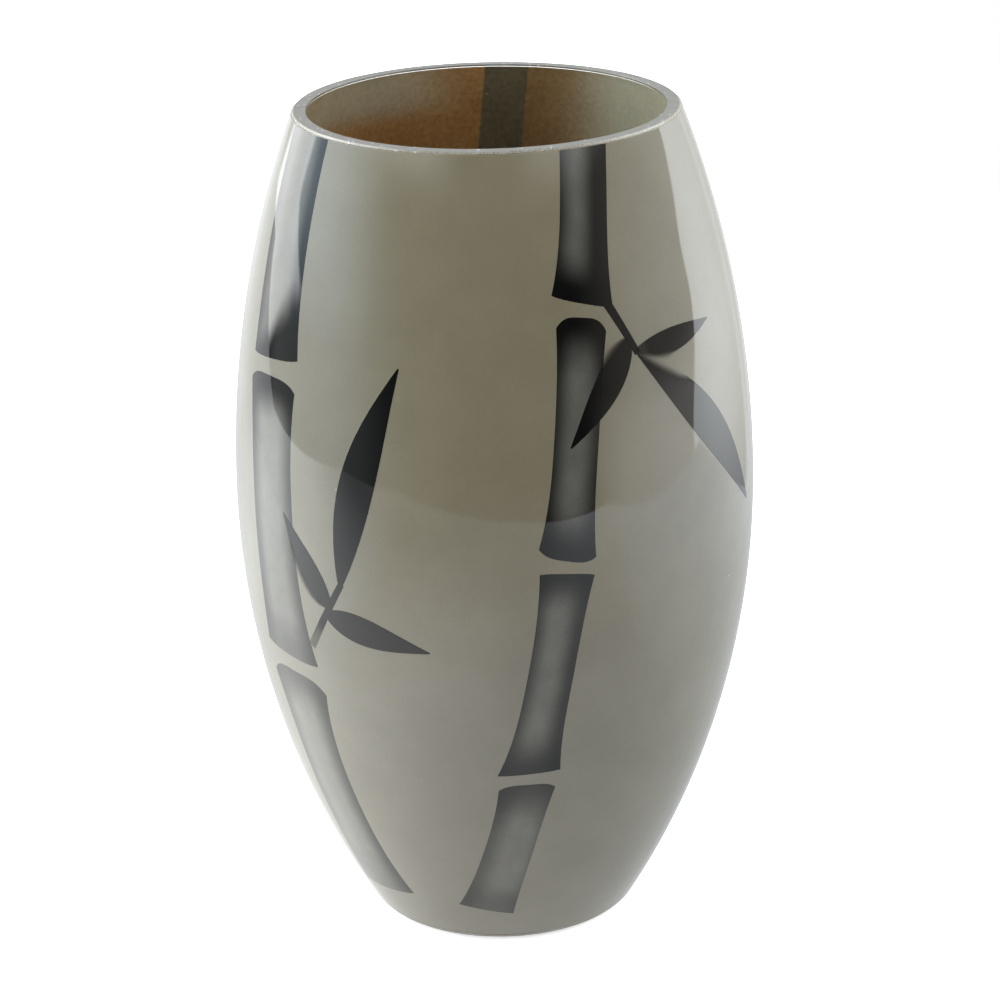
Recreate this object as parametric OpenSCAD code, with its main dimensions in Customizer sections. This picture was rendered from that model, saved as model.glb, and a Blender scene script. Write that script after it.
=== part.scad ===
// Tall barrel-shaped vase of blown glass, lacquered on the outside, with bamboo sprayed on the lacquer.
// Millimetres, +Z up, origin under the middle of the foot, front towards -Y.
// An azimuth is an angle round the axis in degrees, from the front, positive towards the right.

/* [Vessel] */
// Height of the vase from the table to the rim
height = 300; // [250:1:360]
// Outer diameter of the glass at the belly
belly_d = 186; // [155:1:224]
// Height of the belly, the widest girth
belly_z = 162; // [130:1:195]
// Outer diameter of the glass at the rim
rim_d = 135; // [100:0.5:165]
// Diameter of the flat face that the vase stands on
foot_d = 88; // [70:0.5:108]
// Rounding of the edge between the foot and the side
foot_round = 6; // [3:0.5:9]
// Thickness of the wall
wall = 4.5; // [3:0.25:8]
// Thickness of the base, from the table to the inside floor
base_t = 12; // [6:0.5:24]
// Rounding inside, between the floor and the wall
floor_round = 22; // [10:1:30]
// Width of the bevel on the outer edge of the rim
outer_bevel = 0.4; // [0.3:0.1:1.2]
// Width of the bevel on the inner edge of the rim
inner_bevel = 0.3; // [0.2:0.1:1.2]
// Width of the flat ring round the hollow under the foot
foot_ring_w = 14; // [8:0.5:20]
// Depth of the hollow under the foot
hollow_depth = 2; // [1:0.25:4]

/* [Lacquer] */
// Thickness of the lacquer coat
coat_t = 0.25; // [0.15:0.05:0.5]
// Bare glass between the coat and the bevel of the rim, and between the coat and the rounding of the foot
coat_margin = 0.2; // [0.1:0.1:1]
// Thickness of the films sprayed on the coat
film_t = 0.15; // [0.1:0.05:0.3]

/* [Bamboo culms] */
// How far a culm bows to the right at the belly
culm_bow = 2; // [0:0.25:4]
// How far a top internode would run on past the rim, where the rim cuts it
overrun = 26; // [10:1:40]
// Clear gap at a node of a slim culm
slim_gap = 4.5; // [3:0.25:8]
// Clear gap at a node of the broad culm
broad_gap = 6; // [4:0.25:9]

/* [Left culm, broad] */
// Azimuth of the culm at the belly, before its bow
left_az = -57.5; // [-70:0.5:-45]
// Lean of its upper end to the right
left_lean = -3; // [-8:0.5:8]
// Heights of its nodes from the upper one to its foot, as shares of the vase's height
left_nodes = [0.7366, 0.3774, 0.059]; // [0.05:0.0001:0.9]
// Width of each internode at its middle
left_waist = [26.2, 25.5, 25]; // [18:0.1:36]
// Width of each internode at its upper end
left_top_w = [29.5, 30, 32]; // [18:0.1:36]
// Width of each internode at its lower end
left_low_w = [29.5, 31, 29]; // [18:0.1:36]
// How far the upper end of each internode stands off the culm's line to the right
left_top_shift = [0.8, -0.5, 0.6]; // [-2:0.1:2]
// How far the lower end of each internode stands off the culm's line to the right
left_low_shift = [0.4, 0.3, 1.6]; // [-2:0.1:2]
// How far the upper end of each internode rises to the right, from its middle to its right corner
left_top_slant = [0, -0.3, -1]; // [-3:0.1:3]
// How far the corners of each upper end stand below its middle
left_top_bulge = [0, 3.3, 4.5]; // [0:0.1:5]
// How far the lower end of each internode rises to the right
left_low_slant = [0.9, -1.5, 1.3]; // [-3:0.1:3]
// How far the corners of each lower end stand above its middle
left_low_bulge = [0.8, 1, 0.5]; // [0:0.1:5]

/* [Front culm, slim] */
// Azimuth of the culm at the belly, before its bow
front_az = 12.9; // [5:0.1:20]
// Lean of its upper end to the right
front_lean = 7.1; // [-9:0.1:9]
// Heights of its nodes from the upper one to its foot, as shares of the vase's height
front_nodes = [0.827, 0.5397, 0.266, 0.056]; // [0.05:0.0001:0.9]
// Width of each internode at its middle
front_waist = [16.8, 15.7, 16, 17]; // [10:0.1:25]
// Width of each internode at its upper end
front_top_w = [18.5, 17.8, 19.4, 19.5]; // [10:0.1:25]
// Width of each internode at its lower end
front_low_w = [21.9, 20.5, 21.4, 19.3]; // [10:0.1:25]
// How far the upper end of each internode stands off the culm's line to the right
front_top_shift = [0, -0.1, 1.3, 0]; // [-2:0.1:2]
// How far the lower end of each internode stands off the culm's line to the right
front_low_shift = [0, 0.6, -0.6, -1.2]; // [-2:0.1:2]
// How far the upper end of each internode rises to the right, from its middle to its right corner
front_top_slant = [0, -0.4, 0.1, 1.3]; // [-3:0.1:3]
// How far the corners of each upper end stand below its middle
front_top_bulge = [0, 4, 0.5, 2]; // [0:0.1:5]
// How far the lower end of each internode rises to the right
front_low_slant = [-1.7, -1.2, 1.9, -0.9]; // [-3:0.1:3]
// How far the corners of each lower end stand above its middle
front_low_bulge = [0.6, 2.7, 0.3, 0.3]; // [0:0.1:5]

/* [Back culm, slim] */
// Azimuth of the culm at the belly, before its bow
back_az = 181; // [150:1:200]
// Lean of its upper end to the right
back_lean = -4; // [-9:0.5:9]
// Heights of its nodes from the upper one to its foot, as shares of the vase's height
back_nodes = [0.79, 0.5, 0.24, 0.056]; // [0.05:0.0001:0.9]
// Width of each internode at its middle
back_waist = [16.5, 15.8, 16, 16.6]; // [10:0.1:25]
// Width of each internode at its upper end
back_top_w = [18.5, 18.2, 19, 19.2]; // [10:0.1:25]
// Width of each internode at its lower end
back_low_w = [21.2, 20.6, 21, 20.4]; // [10:0.1:25]
// How far the upper end of each internode stands off the culm's line to the right
back_top_shift = [0, 0.3, -0.8, 0.4]; // [-2:0.1:2]
// How far the lower end of each internode stands off the culm's line to the right
back_low_shift = [0, -0.5, 0.6, 0.9]; // [-2:0.1:2]
// How far the upper end of each internode rises to the right, from its middle to its right corner
back_top_slant = [0, 0.5, -0.8, 1]; // [-3:0.1:3]
// How far the corners of each upper end stand below its middle
back_top_bulge = [0, 3, 1.5, 2.5]; // [0:0.1:5]
// How far the lower end of each internode rises to the right
back_low_slant = [1.2, -0.8, 1.5, -0.8]; // [-3:0.1:3]
// How far the corners of each lower end stand above its middle
back_low_bulge = [1, 2.5, 0.6, 0.4]; // [0:0.1:5]

/* [Twigs] */
// Width of a twig where it leaves the culm
twig_root_w = 3.2; // [2:0.1:5]
// Width of a twig at its far end
twig_fork_w = 2.4; // [2:0.1:4]

/* [Left sprig] */
// Height at which the twig leaves the culm, as a share of the vase's height
left_sprig_at = 0.416; // [0.3:0.001:0.6]
// Azimuth that the sprig is drawn square to
left_sprig_az = -36; // [-45:1:-25]
// Distance from the middle of the culm to the root of the twig
left_root_out = 15.3; // [13:0.1:20]
// Length of the twig
left_twig_l = 20; // [10:0.5:30]
// Direction of the twig above the horizontal, towards the right
left_twig_dir = 59; // [30:1:89]
// How far the twig runs on past the fork
left_twig_stub = 12; // [0.8:0.1:15]
// Lengths of the tall, short and low leaves
left_leaf_l = [81.9, 36.5, 40]; // [25:0.1:110]
// Where those leaves leave the twig, past the fork along the twig
left_leaf_from = [11, 0, -3.2]; // [-8:0.1:14]
// Greatest widths of those leaves
left_leaf_w = [12.6, 7.8, 9.8]; // [5:0.1:16]
// Directions of those leaves above the horizontal, towards the right
left_leaf_dir = [74.9, 124.7, -11.8]; // [-180:0.1:180]
// How far those leaves bow out to the left of a straight line
left_leaf_bow = [2.4, -0.1, -0.1]; // [-4:0.1:4]
// Shape of those leaves: 1 is widest half-way, less is widest nearer the stalk
left_leaf_skew = [0.86, 0.65, 0.7]; // [0.6:0.01:1.5]

/* [Front sprig] */
// Height at which the twig leaves the culm, as a share of the vase's height
front_sprig_at = 0.8367; // [0.7:0.0001:0.9]
// Azimuth that the sprig is drawn square to
front_sprig_az = 45; // [35:1:55]
// Distance from the middle of the culm to the root of the twig
front_root_out = 7.5; // [6:0.5:12]
// Length of the twig
front_twig_l = 21; // [10:0.5:30]
// Direction of the twig above the horizontal, towards the right
front_twig_dir = -65; // [-80:1:-30]
// How far the twig runs on past the fork
front_twig_stub = 0.9; // [0.8:0.1:15]
// Lengths of the upper, long and down-turned leaves
front_leaf_l = [37.1, 91.1, 41.4]; // [25:0.1:107]
// Where those leaves leave the twig, past the fork along the twig
front_leaf_from = [0, 0, -5]; // [-8:0.1:14]
// Greatest widths of those leaves
front_leaf_w = [7.2, 13, 8.4]; // [5:0.1:16]
// Directions of those leaves above the horizontal, towards the right
front_leaf_dir = [4.4, -49.3, -126.5]; // [-180:0.1:180]
// How far those leaves bow out to the left of a straight line
front_leaf_bow = [-0.7, 2.6, 0.4]; // [-4:0.1:4]
// Shape of those leaves: 1 is widest half-way, less is widest nearer the stalk
front_leaf_skew = [0.82, 0.97, 0.7]; // [0.6:0.01:1.5]

/* [Back sprig] */
// Height at which the twig leaves the culm, as a share of the vase's height
back_sprig_at = 0.55; // [0.4:0.001:0.6]
// Azimuth that the sprig is drawn square to
back_sprig_az = 203; // [190:1:215]
// Distance from the middle of the culm to the root of the twig
back_root_out = 8; // [6:0.5:12]
// Length of the twig
back_twig_l = 20; // [10:0.5:30]
// Direction of the twig above the horizontal, towards the right
back_twig_dir = 56; // [30:1:89]
// How far the twig runs on past the fork
back_twig_stub = 10; // [0.8:0.1:15]
// Lengths of the tall, short and low leaves
back_leaf_l = [74, 36, 42]; // [25:0.1:99]
// Where those leaves leave the twig, past the fork along the twig
back_leaf_from = [9, 0, -2.5]; // [-8:0.1:14]
// Greatest widths of those leaves
back_leaf_w = [12.5, 8, 9.5]; // [5:0.1:16]
// Directions of those leaves above the horizontal, towards the right
back_leaf_dir = [77, 127, -14]; // [-180:0.1:180]
// How far those leaves bow out to the left of a straight line
back_leaf_bow = [1, 0, 1.5]; // [-4:0.1:4]
// Shape of those leaves: 1 is widest half-way, less is widest nearer the stalk
back_leaf_skew = [1.1, 0.85, 0.8]; // [0.6:0.01:1.5]

/* [Hidden] */
$fn = 240;

LEFT_CULM = ["left_culm_top", "left_culm_middle", "left_culm_foot"];
FRONT_CULM = ["front_culm_top", "front_culm_upper", "front_culm_lower", "front_culm_foot"];
BACK_CULM = ["back_culm_top", "back_culm_upper", "back_culm_lower", "back_culm_foot"];
LEFT_LEAVES = ["left_leaf_tall", "left_leaf_short", "left_leaf_low"];
FRONT_LEAVES = ["front_leaf_up", "front_leaf_long", "front_leaf_down"];
BACK_LEAVES = ["back_leaf_tall", "back_leaf_short", "back_leaf_low"];
TWIGS = ["left_twig", "front_twig", "back_twig"];

glass_colour = [0.72, 0.74, 0.71];
taupe_colour = [0.53, 0.51, 0.45];
culm_colour = [0.33, 0.34, 0.36];
leaf_colour = [0.12, 0.12, 0.13];

// Two decimals keep the arcs of the side exactly tangent to each other at the belly
function to_hundredths(x) = round(x * 100) / 100;

belly_r = belly_d / 2;
rim_r = rim_d / 2;
foot_r = foot_d / 2;

// The side is two arcs that meet at the belly: the upper one ends at the rim
rim_rise = height - belly_z;
rim_inset = belly_r - rim_r;
upper_arc_r = to_hundredths((rim_rise * rim_rise + rim_inset * rim_inset) / (2 * rim_inset));

// The lower arc runs on into the rounding of the foot
foot_drop = belly_z - foot_round;
foot_inset = belly_r - foot_r;
lower_arc_r = to_hundredths(
    (foot_inset * foot_inset + foot_drop * foot_drop - foot_round * foot_round)
    / (2 * (foot_inset - foot_round)));

// Small overlap that makes a rounding cross the arc of the side instead of only touching it
rounding_overlap = 0.1;
// Room by which cutting shapes pass the solids that they cut
past = 5;

// Radius of the side at height z, with the glass thickened by d
function side_r(z, d) =
    let (arc_r = z > belly_z ? upper_arc_r : lower_arc_r)
    belly_r - arc_r + sqrt(pow(arc_r + d, 2) - pow(z - belly_z, 2));

// Depth of the rim's outer bevel, from the slope of the side at the rim
rim_slope = rim_rise / sqrt(upper_arc_r * upper_arc_r - rim_rise * rim_rise);
bevel_depth = outer_bevel / (1 - rim_slope);

// Height at which the rounding of the foot ends on the side
foot_round_top = belly_z - foot_drop * lower_arc_r / (lower_arc_r - foot_round);

coat_low_z = foot_round_top + coat_margin;
coat_top_z = height - bevel_depth - coat_margin;
film_low_z = coat_low_z + film_t;

hollow_r = foot_r - foot_ring_w;
hollow_arc_r = to_hundredths((hollow_r * hollow_r + hollow_depth * hollow_depth) / (2 * hollow_depth));

// Half of the side's outline above the belly, with the glass thickened by d, up to height top
module upper_half(d, top) {
    intersection() {
        translate([belly_r - upper_arc_r, belly_z]) circle(upper_arc_r + d);
        translate([0, belly_z]) square([belly_r + d + past, top - belly_z]);
    }
}

// Half of the side's outline below the belly, with the glass thickened by d, down to height low
module lower_half(d, low) {
    intersection() {
        translate([belly_r - lower_arc_r, belly_z]) circle(lower_arc_r + d);
        translate([0, low]) square([belly_r + d + past, belly_z - low]);
    }
}

// Half of the whole outline, with the glass thickened by d, from a flat floor at height low to height top,
// with a rounding of radius round between the floor and the side
module closed_side(d, low, top, round) {
    drop = belly_z - low - round;
    reach = lower_arc_r + d - round;
    round_x = belly_r - lower_arc_r + sqrt(reach * reach - drop * drop) + rounding_overlap;
    round_top = belly_z - drop * (lower_arc_r + d) / reach;
    intersection() {
        union() {
            upper_half(d, top);
            lower_half(d, low);
        }
        union() {
            translate([0, low]) square([round_x, top - low]);
            translate([round_x, low + round]) circle(round);
            translate([0, round_top]) square([belly_r + past, top - round_top]);
        }
    }
}

// Ring-shaped outline between two thicknesses on the side, from height low to height top
module side_layer(inner_d, outer_d, low, top) {
    intersection() {
        difference() {
            union() {
                upper_half(outer_d, height);
                lower_half(outer_d, 0);
            }
            upper_half(inner_d, height);
            lower_half(inner_d, 0);
        }
        translate([0, low]) square([belly_r + outer_d + past, top - low]);
    }
}

// Bevels and flat top of the rim, as the outline that is ground away
module rim_grinding() {
    inner_r = side_r(height, -wall);
    translate([rim_r - outer_bevel, height])
        polygon([[0, 0], [0, past], [past + past, past], [past + past, -past - past]]);
    translate([inner_r + inner_bevel, height])
        polygon([[0, 0], [0, past], [-past, past], [-past, -past]]);
}

module vessel_profile() {
    difference() {
        closed_side(0, 0, height, foot_round);
        closed_side(-wall, base_t, height + past, floor_round);
        rim_grinding();
        intersection() {
            translate([0, hollow_depth - hollow_arc_r]) circle(hollow_arc_r);
            translate([0, -past]) square([foot_r, past + hollow_depth + past]);
        }
    }
}

// Clear blown vessel with its ground rim and the hollow under its foot
module glass_body() {
    color(glass_colour) rotate_extrude() vessel_profile();
}

// Lacquer on the outside, from the foot to the bevel of the rim
module taupe_coat() {
    color(taupe_colour) rotate_extrude() side_layer(0, coat_t, coat_low_z, coat_top_z);
}

// A flat drawing, x across and y up, pushed straight through the side at azimuth az
module stencil(az) {
    rotate([0, 0, az]) rotate([90, 0, 0])
        linear_extrude(height = belly_r + coat_t + film_t + past) children();
}

// The film that a drawing leaves on the coat when it is sprayed square on from azimuth az
module film(az) {
    intersection() {
        rotate_extrude() side_layer(coat_t, coat_t + film_t, film_low_z, coat_top_z);
        stencil(az) children();
    }
}

// Outline of one internode along y from low to top: a narrow middle, flared ends, and end lines that
// slant and bulge
side_steps = 10;
end_steps = 8;
flare_power = 3;
bulge_power = 4;
function between(from, to, t) = from + t * (to - from);
function half_width(t, waist, low_w, top_w) =
    waist / 2 + pow(abs(2 * t - 1), flare_power) * ((t < 0.5 ? low_w : top_w) - waist) / 2;
function end_line(middle, slant, bulge, s) = middle + slant * s + bulge * pow(abs(s), bulge_power);
function internode(low, top, waist, low_w, top_w, low_shift, top_shift,
                   low_slant, top_slant, low_bulge, top_bulge) = concat(
    [for (i = [0 : side_steps])
        let (t = i / side_steps,
             from = end_line(low, low_slant, low_bulge, 1),
             to = end_line(top, top_slant, -top_bulge, 1))
        [between(low_shift, top_shift, t) + half_width(t, waist, low_w, top_w), between(from, to, t)]],
    [for (i = [1 : end_steps - 1])
        let (s = 1 - 2 * i / end_steps)
        [top_shift + s * top_w / 2, end_line(top, top_slant, -top_bulge, s)]],
    [for (i = [side_steps : -1 : 0])
        let (t = i / side_steps,
             from = end_line(low, low_slant, low_bulge, -1),
             to = end_line(top, top_slant, -top_bulge, -1))
        [between(low_shift, top_shift, t) - half_width(t, waist, low_w, top_w), between(from, to, t)]],
    [for (i = [1 : end_steps - 1])
        let (s = 2 * i / end_steps - 1)
        [low_shift + s * low_w / 2, end_line(low, low_slant, low_bulge, s)]]);

// How far a culm's bow carries it to the right, at a distance s along it from the belly
function bow_at(s) = culm_bow * (1 - pow(2 * s / height, 2));
// A point x across and s along a leaning culm, in the culm's own drawing
function on_culm(x, s, lean) =
    [x * cos(lean) + s * sin(lean) + bow_at(s), belly_z - x * sin(lean) + s * cos(lean)];

// Film of internode i of a culm, counted down from the rim
module internode_film(i, az, lean, nodes, gap, waist, low_w, top_w, low_shift, top_shift,
                      low_slant, top_slant, low_bulge, top_bulge) {
    is_foot = i == len(nodes) - 1;
    top_z = i == 0 ? height + overrun : nodes[i - 1] * height - gap / 2;
    low_z = nodes[i] * height + (is_foot ? 0 : gap / 2);
    outline = internode((low_z - belly_z) / cos(lean), (top_z - belly_z) / cos(lean),
                        waist[i], low_w[i], top_w[i], low_shift[i], top_shift[i],
                        low_slant[i], top_slant[i], low_bulge[i], top_bulge[i]);
    film(az) polygon([for (p = outline) on_culm(p[0], p[1], lean)]);
}

// Where a twig starts, out to the right of the middle of its culm, in the sprig's own drawing
function twig_root(at, sprig_az, culm_az, lean, out) =
    let (z = at * height,
         r = side_r(z, coat_t),
         middle = on_culm(0, (z - belly_z) / cos(lean), lean)[0],
         root_az = culm_az + asin((middle + out) / r))
    [r * sin(root_az - sprig_az), z];
function towards(dir, l) = [l * cos(dir), l * sin(dir)];

// Stroke of a twig from its root to past the fork
module twig_shape(root, l, dir) {
    translate(root) rotate(dir)
        polygon([[0, -twig_root_w / 2], [l, -twig_fork_w / 2], [l, twig_fork_w / 2], [0, twig_root_w / 2]]);
}

// Outline of a leaf from its stalk at the twig to its tip
leaf_steps = 14;
stalk_w = 1.4;
tip_w = 0.5;
function leaf_half(t, w, skew) = sin(180 * pow(t, skew)) * w / 2 + ((1 - t) * stalk_w + t * tip_w) / 2;
function leaf_outline(l, w, bow, skew) = concat(
    [for (i = [0 : leaf_steps])
        let (t = i / leaf_steps)
        [t * l, bow * sin(180 * t) - leaf_half(t, w, skew)]],
    [for (i = [leaf_steps : -1 : 0])
        let (t = i / leaf_steps)
        [t * l, bow * sin(180 * t) + leaf_half(t, w, skew)]]);
module leaf_shape(start, l, w, dir, bow, skew) {
    translate(start) rotate(dir) polygon(leaf_outline(l, w, bow, skew));
}

// The roots and forks of the three twigs
left_root = twig_root(left_sprig_at, left_sprig_az, left_az, left_lean, left_root_out);
front_root = twig_root(front_sprig_at, front_sprig_az, front_az, front_lean, front_root_out);
back_root = twig_root(back_sprig_at, back_sprig_az, back_az, back_lean, back_root_out);
left_fork = left_root + towards(left_twig_dir, left_twig_l);
front_fork = front_root + towards(front_twig_dir, front_twig_l);
back_fork = back_root + towards(back_twig_dir, back_twig_l);

module left_twig_shape() {
    twig_shape(left_root, left_twig_l + left_twig_stub, left_twig_dir);
}
module front_twig_shape() {
    twig_shape(front_root, front_twig_l + front_twig_stub, front_twig_dir);
}
module back_twig_shape() {
    twig_shape(back_root, back_twig_l + back_twig_stub, back_twig_dir);
}

module left_leaf_shape(i) {
    leaf_shape(left_fork + towards(left_twig_dir, left_leaf_from[i]), left_leaf_l[i], left_leaf_w[i],
               left_leaf_dir[i], left_leaf_bow[i], left_leaf_skew[i]);
}
module front_leaf_shape(i) {
    leaf_shape(front_fork + towards(front_twig_dir, front_leaf_from[i]), front_leaf_l[i], front_leaf_w[i],
               front_leaf_dir[i], front_leaf_bow[i], front_leaf_skew[i]);
}
module back_leaf_shape(i) {
    leaf_shape(back_fork + towards(back_twig_dir, back_leaf_from[i]), back_leaf_l[i], back_leaf_w[i],
               back_leaf_dir[i], back_leaf_bow[i], back_leaf_skew[i]);
}

// A culm is sprayed round the twig and the leaves that lie over it
module left_culm(i) {
    color(culm_colour) difference() {
        internode_film(i, left_az, left_lean, left_nodes, broad_gap,
                       left_waist, left_low_w, left_top_w, left_low_shift, left_top_shift,
                       left_low_slant, left_top_slant, left_low_bulge, left_top_bulge);
        stencil(left_sprig_az) {
            left_twig_shape();
            for (k = [0 : len(LEFT_LEAVES) - 1]) left_leaf_shape(k);
        }
    }
}
module front_culm(i) {
    color(culm_colour) difference() {
        internode_film(i, front_az, front_lean, front_nodes, slim_gap,
                       front_waist, front_low_w, front_top_w, front_low_shift, front_top_shift,
                       front_low_slant, front_top_slant, front_low_bulge, front_top_bulge);
        stencil(front_sprig_az) {
            front_twig_shape();
            for (k = [0 : len(FRONT_LEAVES) - 1]) front_leaf_shape(k);
        }
    }
}
module back_culm(i) {
    color(culm_colour) difference() {
        internode_film(i, back_az, back_lean, back_nodes, slim_gap,
                       back_waist, back_low_w, back_top_w, back_low_shift, back_top_shift,
                       back_low_slant, back_top_slant, back_low_bulge, back_top_bulge);
        stencil(back_sprig_az) {
            back_twig_shape();
            for (k = [0 : len(BACK_LEAVES) - 1]) back_leaf_shape(k);
        }
    }
}

module left_twig() {
    color(leaf_colour) film(left_sprig_az) left_twig_shape();
}
module front_twig() {
    color(leaf_colour) film(front_sprig_az) front_twig_shape();
}
module back_twig() {
    color(leaf_colour) film(back_sprig_az) back_twig_shape();
}

// Each leaf stops at the twig and at the leaves sprayed before it
module left_leaf(i) {
    color(leaf_colour) film(left_sprig_az) difference() {
        left_leaf_shape(i);
        left_twig_shape();
        for (k = [0 : 1 : i - 1]) left_leaf_shape(k);
    }
}
module front_leaf(i) {
    color(leaf_colour) film(front_sprig_az) difference() {
        front_leaf_shape(i);
        front_twig_shape();
        for (k = [0 : 1 : i - 1]) front_leaf_shape(k);
    }
}
module back_leaf(i) {
    color(leaf_colour) film(back_sprig_az) difference() {
        back_leaf_shape(i);
        back_twig_shape();
        for (k = [0 : 1 : i - 1]) back_leaf_shape(k);
    }
}

glass_body();
taupe_coat();
for (i = [0 : len(LEFT_CULM) - 1]) left_culm(i);
for (i = [0 : len(FRONT_CULM) - 1]) front_culm(i);
for (i = [0 : len(BACK_CULM) - 1]) back_culm(i);
left_twig();
front_twig();
back_twig();
for (i = [0 : len(LEFT_LEAVES) - 1]) left_leaf(i);
for (i = [0 : len(FRONT_LEAVES) - 1]) front_leaf(i);
for (i = [0 : len(BACK_LEAVES) - 1]) back_leaf(i);
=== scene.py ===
import math

import bpy
from mathutils import Matrix, Vector


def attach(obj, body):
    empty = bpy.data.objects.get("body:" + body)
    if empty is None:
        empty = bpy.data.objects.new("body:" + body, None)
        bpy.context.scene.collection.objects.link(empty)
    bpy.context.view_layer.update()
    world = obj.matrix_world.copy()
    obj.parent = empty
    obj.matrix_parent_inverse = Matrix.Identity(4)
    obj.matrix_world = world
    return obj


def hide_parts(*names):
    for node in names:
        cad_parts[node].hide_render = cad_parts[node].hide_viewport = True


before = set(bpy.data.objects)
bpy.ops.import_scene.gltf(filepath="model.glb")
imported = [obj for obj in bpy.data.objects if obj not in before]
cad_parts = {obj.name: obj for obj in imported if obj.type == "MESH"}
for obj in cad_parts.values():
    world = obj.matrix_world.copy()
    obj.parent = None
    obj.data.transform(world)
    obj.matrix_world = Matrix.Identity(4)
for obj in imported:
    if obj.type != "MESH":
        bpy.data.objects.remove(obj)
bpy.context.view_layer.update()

# Sizes of the vessel in millimetres, as in the CAD model: front towards -Y, azimuth 0 at the front
MM = 0.001
HEIGHT = 300.0
BELLY_R = 93.0
BELLY_Z = 162.0
RIM_R = 67.5
FOOT_R = 44.0
FOOT_ROUND = 6.0
WALL = 4.5
BASE_T = 12.0
FLOOR_ROUND = 22.0
OUTER_BEVEL = 0.4
INNER_BEVEL = 0.3
HOLLOW_R = 30.0
HOLLOW_DEPTH = 2.0
COAT_T = 0.25
COAT_MARGIN = 0.2

# Sizes of the bamboo in millimetres
CULM_BOW = 2.0
OVERRUN = 26.0
FLARE_POWER = 3
BULGE_POWER = 4
TWIG_ROOT_W = 3.2
TWIG_FORK_W = 2.4
STALK_W = 1.4
TIP_W = 0.5
SLIM_GAP = 4.5
BROAD_GAP = 6.0

# How deep a layer sinks into the one below it, and how far the spray lies above the coat
COAT_SINK = 0.05
FILM_SINK = 0.05
CULM_LIFT = 0.03
TWIG_LIFT = 0.05
LEAF_LIFT = 0.07

# The two arcs of the side meet at the belly
RIM_RISE = HEIGHT - BELLY_Z
RIM_INSET = BELLY_R - RIM_R
UPPER_ARC_R = (RIM_RISE ** 2 + RIM_INSET ** 2) / (2 * RIM_INSET)
FOOT_DROP = BELLY_Z - FOOT_ROUND
FOOT_INSET = BELLY_R - FOOT_R
LOWER_ARC_R = (FOOT_INSET ** 2 + FOOT_DROP ** 2 - FOOT_ROUND ** 2) / (2 * (FOOT_INSET - FOOT_ROUND))
RIM_SLOPE = RIM_RISE / math.sqrt(UPPER_ARC_R ** 2 - RIM_RISE ** 2)
OUTER_BEVEL_DEPTH = OUTER_BEVEL / (1 - RIM_SLOPE)
INNER_BEVEL_DEPTH = INNER_BEVEL / (1 + RIM_SLOPE)
COAT_LOW_Z = BELLY_Z - FOOT_DROP * LOWER_ARC_R / (LOWER_ARC_R - FOOT_ROUND) + COAT_MARGIN
COAT_TOP_Z = HEIGHT - OUTER_BEVEL_DEPTH - COAT_MARGIN


def side_r(z, depth):
    """Radius of the side at height z, with the glass thickened by depth."""
    arc_r = UPPER_ARC_R if z > BELLY_Z else LOWER_ARC_R
    return BELLY_R - arc_r + math.sqrt((arc_r + depth) ** 2 - (z - BELLY_Z) ** 2)


def between(low, high, steps):
    """Evenly spaced values from low to high, both included."""
    return [low + (high - low) * i / steps for i in range(steps + 1)]


def smooth(value, low, high):
    """Smooth step from 0 at low to 1 at high."""
    t = min(max((value - low) / (high - low), 0.0), 1.0)
    return t * t * (3 - 2 * t)


def on_side(x, z, azimuth, depth):
    """Point in metres where a drawing square to an azimuth in degrees lands on the side."""
    r = side_r(z, depth)
    angle = math.radians(azimuth) + math.asin(x / r)
    return (r * math.sin(angle) * MM, -r * math.cos(angle) * MM, z * MM)


# Meshes
def make_piece(name, points, faces, nodes, materials, face_materials, smooth_faces):
    """New piece that rides on the root body and stands for the CAD nodes named."""
    mesh = bpy.data.meshes.new(name)
    mesh.from_pydata(points, [], faces)
    for material in materials:
        mesh.materials.append(material)
    mesh.polygons.foreach_set("material_index", face_materials)
    mesh.polygons.foreach_set("use_smooth", smooth_faces)
    mesh.validate()
    mesh.update()
    piece = bpy.data.objects.new(name, mesh)
    bpy.context.scene.collection.objects.link(piece)
    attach(piece, "root")
    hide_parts(*nodes)
    return piece


def set_marks(piece, name, values):
    """Stores one number for each vertex under a name that materials can read."""
    mark = piece.data.attributes.new(name, "FLOAT", "POINT")
    mark.data.foreach_set("value", values)


def sharpen(piece, rings):
    """Marks the edges along closed rings of vertices as sharp."""
    sharp = {frozenset((ring[k - 1], ring[k])) for ring in rings for k in range(len(ring))}
    for edge in piece.data.edges:
        if frozenset(edge.vertices) in sharp:
            edge.use_edge_sharp = True


def turned_piece(name, runs, segments, nodes, materials):
    """Closed body of revolution.

    A run is (material index, [(radius, height), ...]), and runs meet at sharp rings.
    """
    points = []
    faces = []
    face_materials = []
    sharp_rings = []
    rings = []
    turns = [2 * math.pi * j / segments for j in range(segments)]

    def join(low, high, material_index):
        for j in range(segments):
            corners = [low[j - 1], low[j], high[j], high[j - 1]]
            faces.append(list(dict.fromkeys(corners)))
            face_materials.append(material_index)

    for material_index, run in runs:
        if rings:
            sharp_rings.append(rings[-1])
        for r, z in run[1 if rings else 0:]:
            start = len(points)
            if r == 0:
                points.append((0.0, 0.0, z * MM))
                ring = [start] * segments
            else:
                points += [(r * math.sin(a) * MM, -r * math.cos(a) * MM, z * MM) for a in turns]
                ring = list(range(start, start + segments))
            if rings:
                join(rings[-1], ring, material_index)
            rings.append(ring)
    starts_on_axis = rings[0][0] == rings[0][-1]
    if not starts_on_axis:
        join(rings[-1], rings[0], runs[-1][0])
        sharp_rings += [rings[0], rings[-1]]
    piece = make_piece(name, points, faces, nodes, materials, face_materials, [True] * len(faces))
    sharpen(piece, sharp_rings)
    return piece


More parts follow.
